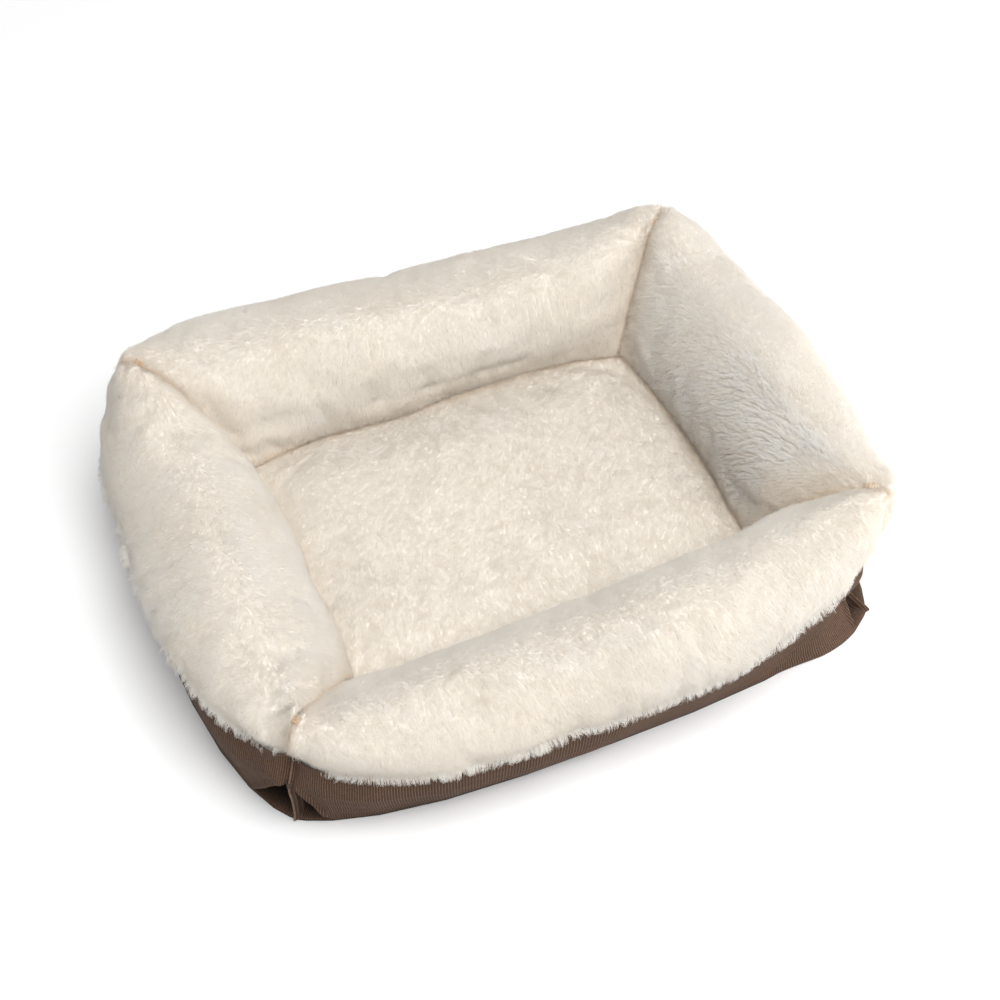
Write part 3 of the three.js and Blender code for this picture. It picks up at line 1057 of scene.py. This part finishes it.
def joined_profiles(columns, rows):
    """Every side's profile, with the two that meet at a corner made equal there."""
    found = {side: panel_profile(side, columns, rows) for side in SIDES}
    for corner in CORNER_NAMES:
        meeting = [(side, 0 if SIDES[side][2] == corner else -1) for side in sides_at(corner)]
        levels = found[meeting[0][0]][1][meeting[0][1]]
        ends = [np.interp(levels, found[side][1][end], found[side][2][end]) for side, end in meeting]
        mean = sum(ends) / 2
        for side, end in meeting:
            share, height, out = found[side]
            close = smooth(0.93, 1.0, share * (-1 if end == 0 else 1))
            wanted = np.interp(height, levels, mean)
            at_end = np.interp(height, height[end], out[end])
            out += (wanted - at_end) * close
    return found


def make_panel(side, profile):
    columns, rows = profile[0].shape
    share, height, out = profile
    out = creased(side, share, height, folded(side, share, height, out))
    points = on_side(side, share, height, out)
    seam_lines[SIDES[side][2]] = points[0]
    ob = mesh_object(f"canvas_{side}", points.reshape(-1, 3), grid_faces(columns, rows))
    if float(normals_of(ob.data).mean(axis=0) @ SIDES[side][1]) < 0:
        ob.data.flip_normals()
    set_attribute(ob.data, "cord", (share * half_along(side)).ravel())
    # painted shade: how far the cloth is drawn in under the folds, for the canvas's near-black blend
    set_attribute(ob.data, "fold_shade_share", fold_depth(side, share, height)[0].ravel())
    solid = ob.modifiers.new("thickness", "SOLIDIFY")
    solid.thickness = CANVAS_THICKNESS
    solid.offset = -1
    apply_modifiers(ob)
    ob.data.materials.append(CANVAS)
    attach(ob, "root")
    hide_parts(f"outer_panel_{side}")


# ---- seams and stitches
def tube(path, radius, sides=8):
    """Points and faces of a closed tube along a path."""
    path = np.asarray(path, dtype=float)
    run = unit(np.gradient(path, axis=0))
    aside = unit(np.cross(run, np.array([0.31, 0.47, 0.83])))
    lift = np.cross(run, aside)
    turn = np.linspace(0, 2 * math.pi, sides, endpoint=False)
    ring = np.cos(turn)[None, :, None] * aside[:, None] + np.sin(turn)[None, :, None] * lift[:, None]
    points = (path[:, None] + ring * radius).reshape(-1, 3)
    faces = []
    for i in range(len(path) - 1):
        for j in range(sides):
            k = (j + 1) % sides
            faces.append((i * sides + j, i * sides + k, (i + 1) * sides + k, (i + 1) * sides + j))
    faces.append(tuple(range(sides))[::-1])
    faces.append(tuple((len(path) - 1) * sides + j for j in range(sides)))
    return points, faces


def tubes_object(name, paths, radius, surface):
    points, faces, start = [], [], 0
    for path in paths:
        more, linked = tube(path, radius)
        points.extend(more)
        faces.extend(tuple(start + index for index in face) for face in linked)
        start += len(more)
    ob = mesh_object(name, points, faces)
    ob.data.materials.append(surface)
    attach(ob, "root")
    return ob


def across_corner(corner, spot, reach, proud):
    """A stitch's path over a corner seam: out from one panel's face to the other's."""
    ways = []
    for side in sides_at(corner):
        along, _, start, _ = SIDES[side]
        ways.append(along if start == corner else -along)
    outward = unit(spot * IN_PLAN)
    path = []
    for share in np.linspace(-1, 1, 9):
        way = ways[0] if share < 0 else ways[1]
        path.append(spot + way * abs(share) * reach + outward * proud * (1.2 - 0.9 * abs(share)))
    return path


def make_corner_seam(corner):
    line = seam_lines[corner]
    outward = unit(crests[corner] * IN_PLAN)
    ob = tubes_object(f"seam_{corner}", [line[1:-2] + outward * 0.3 * MM], 0.9 * MM, SEAM)
    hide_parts(f"corner_seam_{corner}")


def make_bartack(corner):
    line = seam_lines[corner]
    spot = line[np.abs(line[:, 2] - pinches[corner][2]).argmin()]
    paths = []
    for step in np.linspace(-2.6 * MM, 2.6 * MM, 8):
        paths.append(across_corner(corner, spot + np.array([0, 0, step]), 4.5 * MM, 1.4 * MM))
    ob = tubes_object(f"bartack_{corner}", paths, 0.42 * MM, THREAD)
    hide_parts(f"corner_bartack_{corner}")


def make_crest_tack(corner):
    """Four short stitches over the valley where the two bolsters' crests meet."""
    crest = crests[corner]
    inward = -unit(crest * IN_PLAN)
    aside = np.cross(inward, UP)
    paths = []
    for step in range(4):
        middle = crest + inward * step * 2.2 * MM - UP * (3.4 + step * 0.7) * MM
        bend = np.linspace(-1, 1, 9)
        arch = 1.6 * MM * (1 - bend**2) - 0.5 * MM
        paths.append(middle + aside * (bend * 3 * MM)[:, None] + UP * arch[:, None])
    ob = tubes_object(f"tack_{corner}", paths, 0.45 * MM, TAN_THREAD)
    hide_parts(f"crest_tack_{corner}")


for name in SIDES:
    make_bolster(name)
make_pad()
seam_lines = {}  # the canvas's edge at each corner, from the base up
profiles = joined_profiles(PANEL_COLUMNS, PANEL_ROWS)
for name in SIDES:
    make_panel(name, profiles[name])
for name in CORNER_NAMES:
    make_corner_seam(name)
    make_bartack(name)
    make_crest_tack(name)

base_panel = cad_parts["base_panel"]
base_panel.data.materials.clear()
base_panel.data.materials.append(BASE_CLOTH)


# ---- the stage
def make_floor():
    bpy.ops.mesh.primitive_plane_add(size=40, location=(0, 0, 0))
    floor = bpy.context.object
    floor.name = "floor"
    mat, _, shader = material("floor", 1.0)
    shader.inputs["Base Color"].default_value = (0.92, 0.92, 0.92, 1)
    shader.inputs["Specular IOR Level"].default_value = 0
    floor.data.materials.append(mat)


def towards(azimuth, elevation):
    a, e = math.radians(azimuth), math.radians(elevation)
    return Vector((math.sin(a) * math.cos(e), -math.cos(a) * math.cos(e), math.sin(e)))


def make_light(name, azimuth, elevation, distance, size, power):
    data = bpy.data.lights.new(name, "AREA")
    data.shape = "SQUARE"
    data.size = size
    data.energy = power
    lamp = link(bpy.data.objects.new(name, data))
    back = towards(azimuth, elevation)
    lamp.location = back * distance
    lamp.rotation_euler = (-back).to_track_quat("-Z", "Y").to_euler()


def make_world(least, most):
    """White all round, stronger from the right than from the left."""
    world = bpy.data.worlds.new("studio")
    world.use_nodes = True
    tree = world.node_tree
    direction = tree.nodes.new("ShaderNodeTexCoord")
    split = tree.nodes.new("ShaderNodeSeparateXYZ")
    spread = tree.nodes.new("ShaderNodeMapRange")
    for socket, value in (("From Min", -1), ("From Max", 1), ("To Min", least), ("To Max", most)):
        spread.inputs[socket].default_value = value
    tree.links.new(direction.outputs["Generated"], split.inputs[0])
    tree.links.new(split.outputs["X"], spread.inputs["Value"])
    tree.links.new(spread.outputs[0], tree.nodes["Background"].inputs["Strength"])
    tree.nodes["Background"].inputs["Color"].default_value = (1, 1, 1, 1)
    bpy.context.scene.world = world


def make_camera():
    data = bpy.data.cameras.new("camera")
    data.lens = LENS
    data.clip_start, data.clip_end = 0.01, 100
    camera = link(bpy.data.objects.new("camera", data))
    back = towards(AZIMUTH, ELEVATION)
    level = (-back).cross(Vector((0, 0, 1))).normalized()
    upright = level.cross(-back)
    turn = math.radians(ROLL)
    right = level * math.cos(turn) + upright * math.sin(turn)
    up = upright * math.cos(turn) - level * math.sin(turn)
    place = Matrix((right, up, back)).transposed().to_4x4()
    place.translation = TARGET + back * DISTANCE
    camera.matrix_world = place
    bpy.context.scene.camera = camera


make_floor()
make_world(least=0.23, most=0.66)
make_light("top", azimuth=2, elevation=70, distance=3.5, size=3.0, power=129)
make_light("side", azimuth=62, elevation=12, distance=1.3, size=0.7, power=10)
make_camera()
bpy.context.scene.view_settings.view_transform = "Standard"
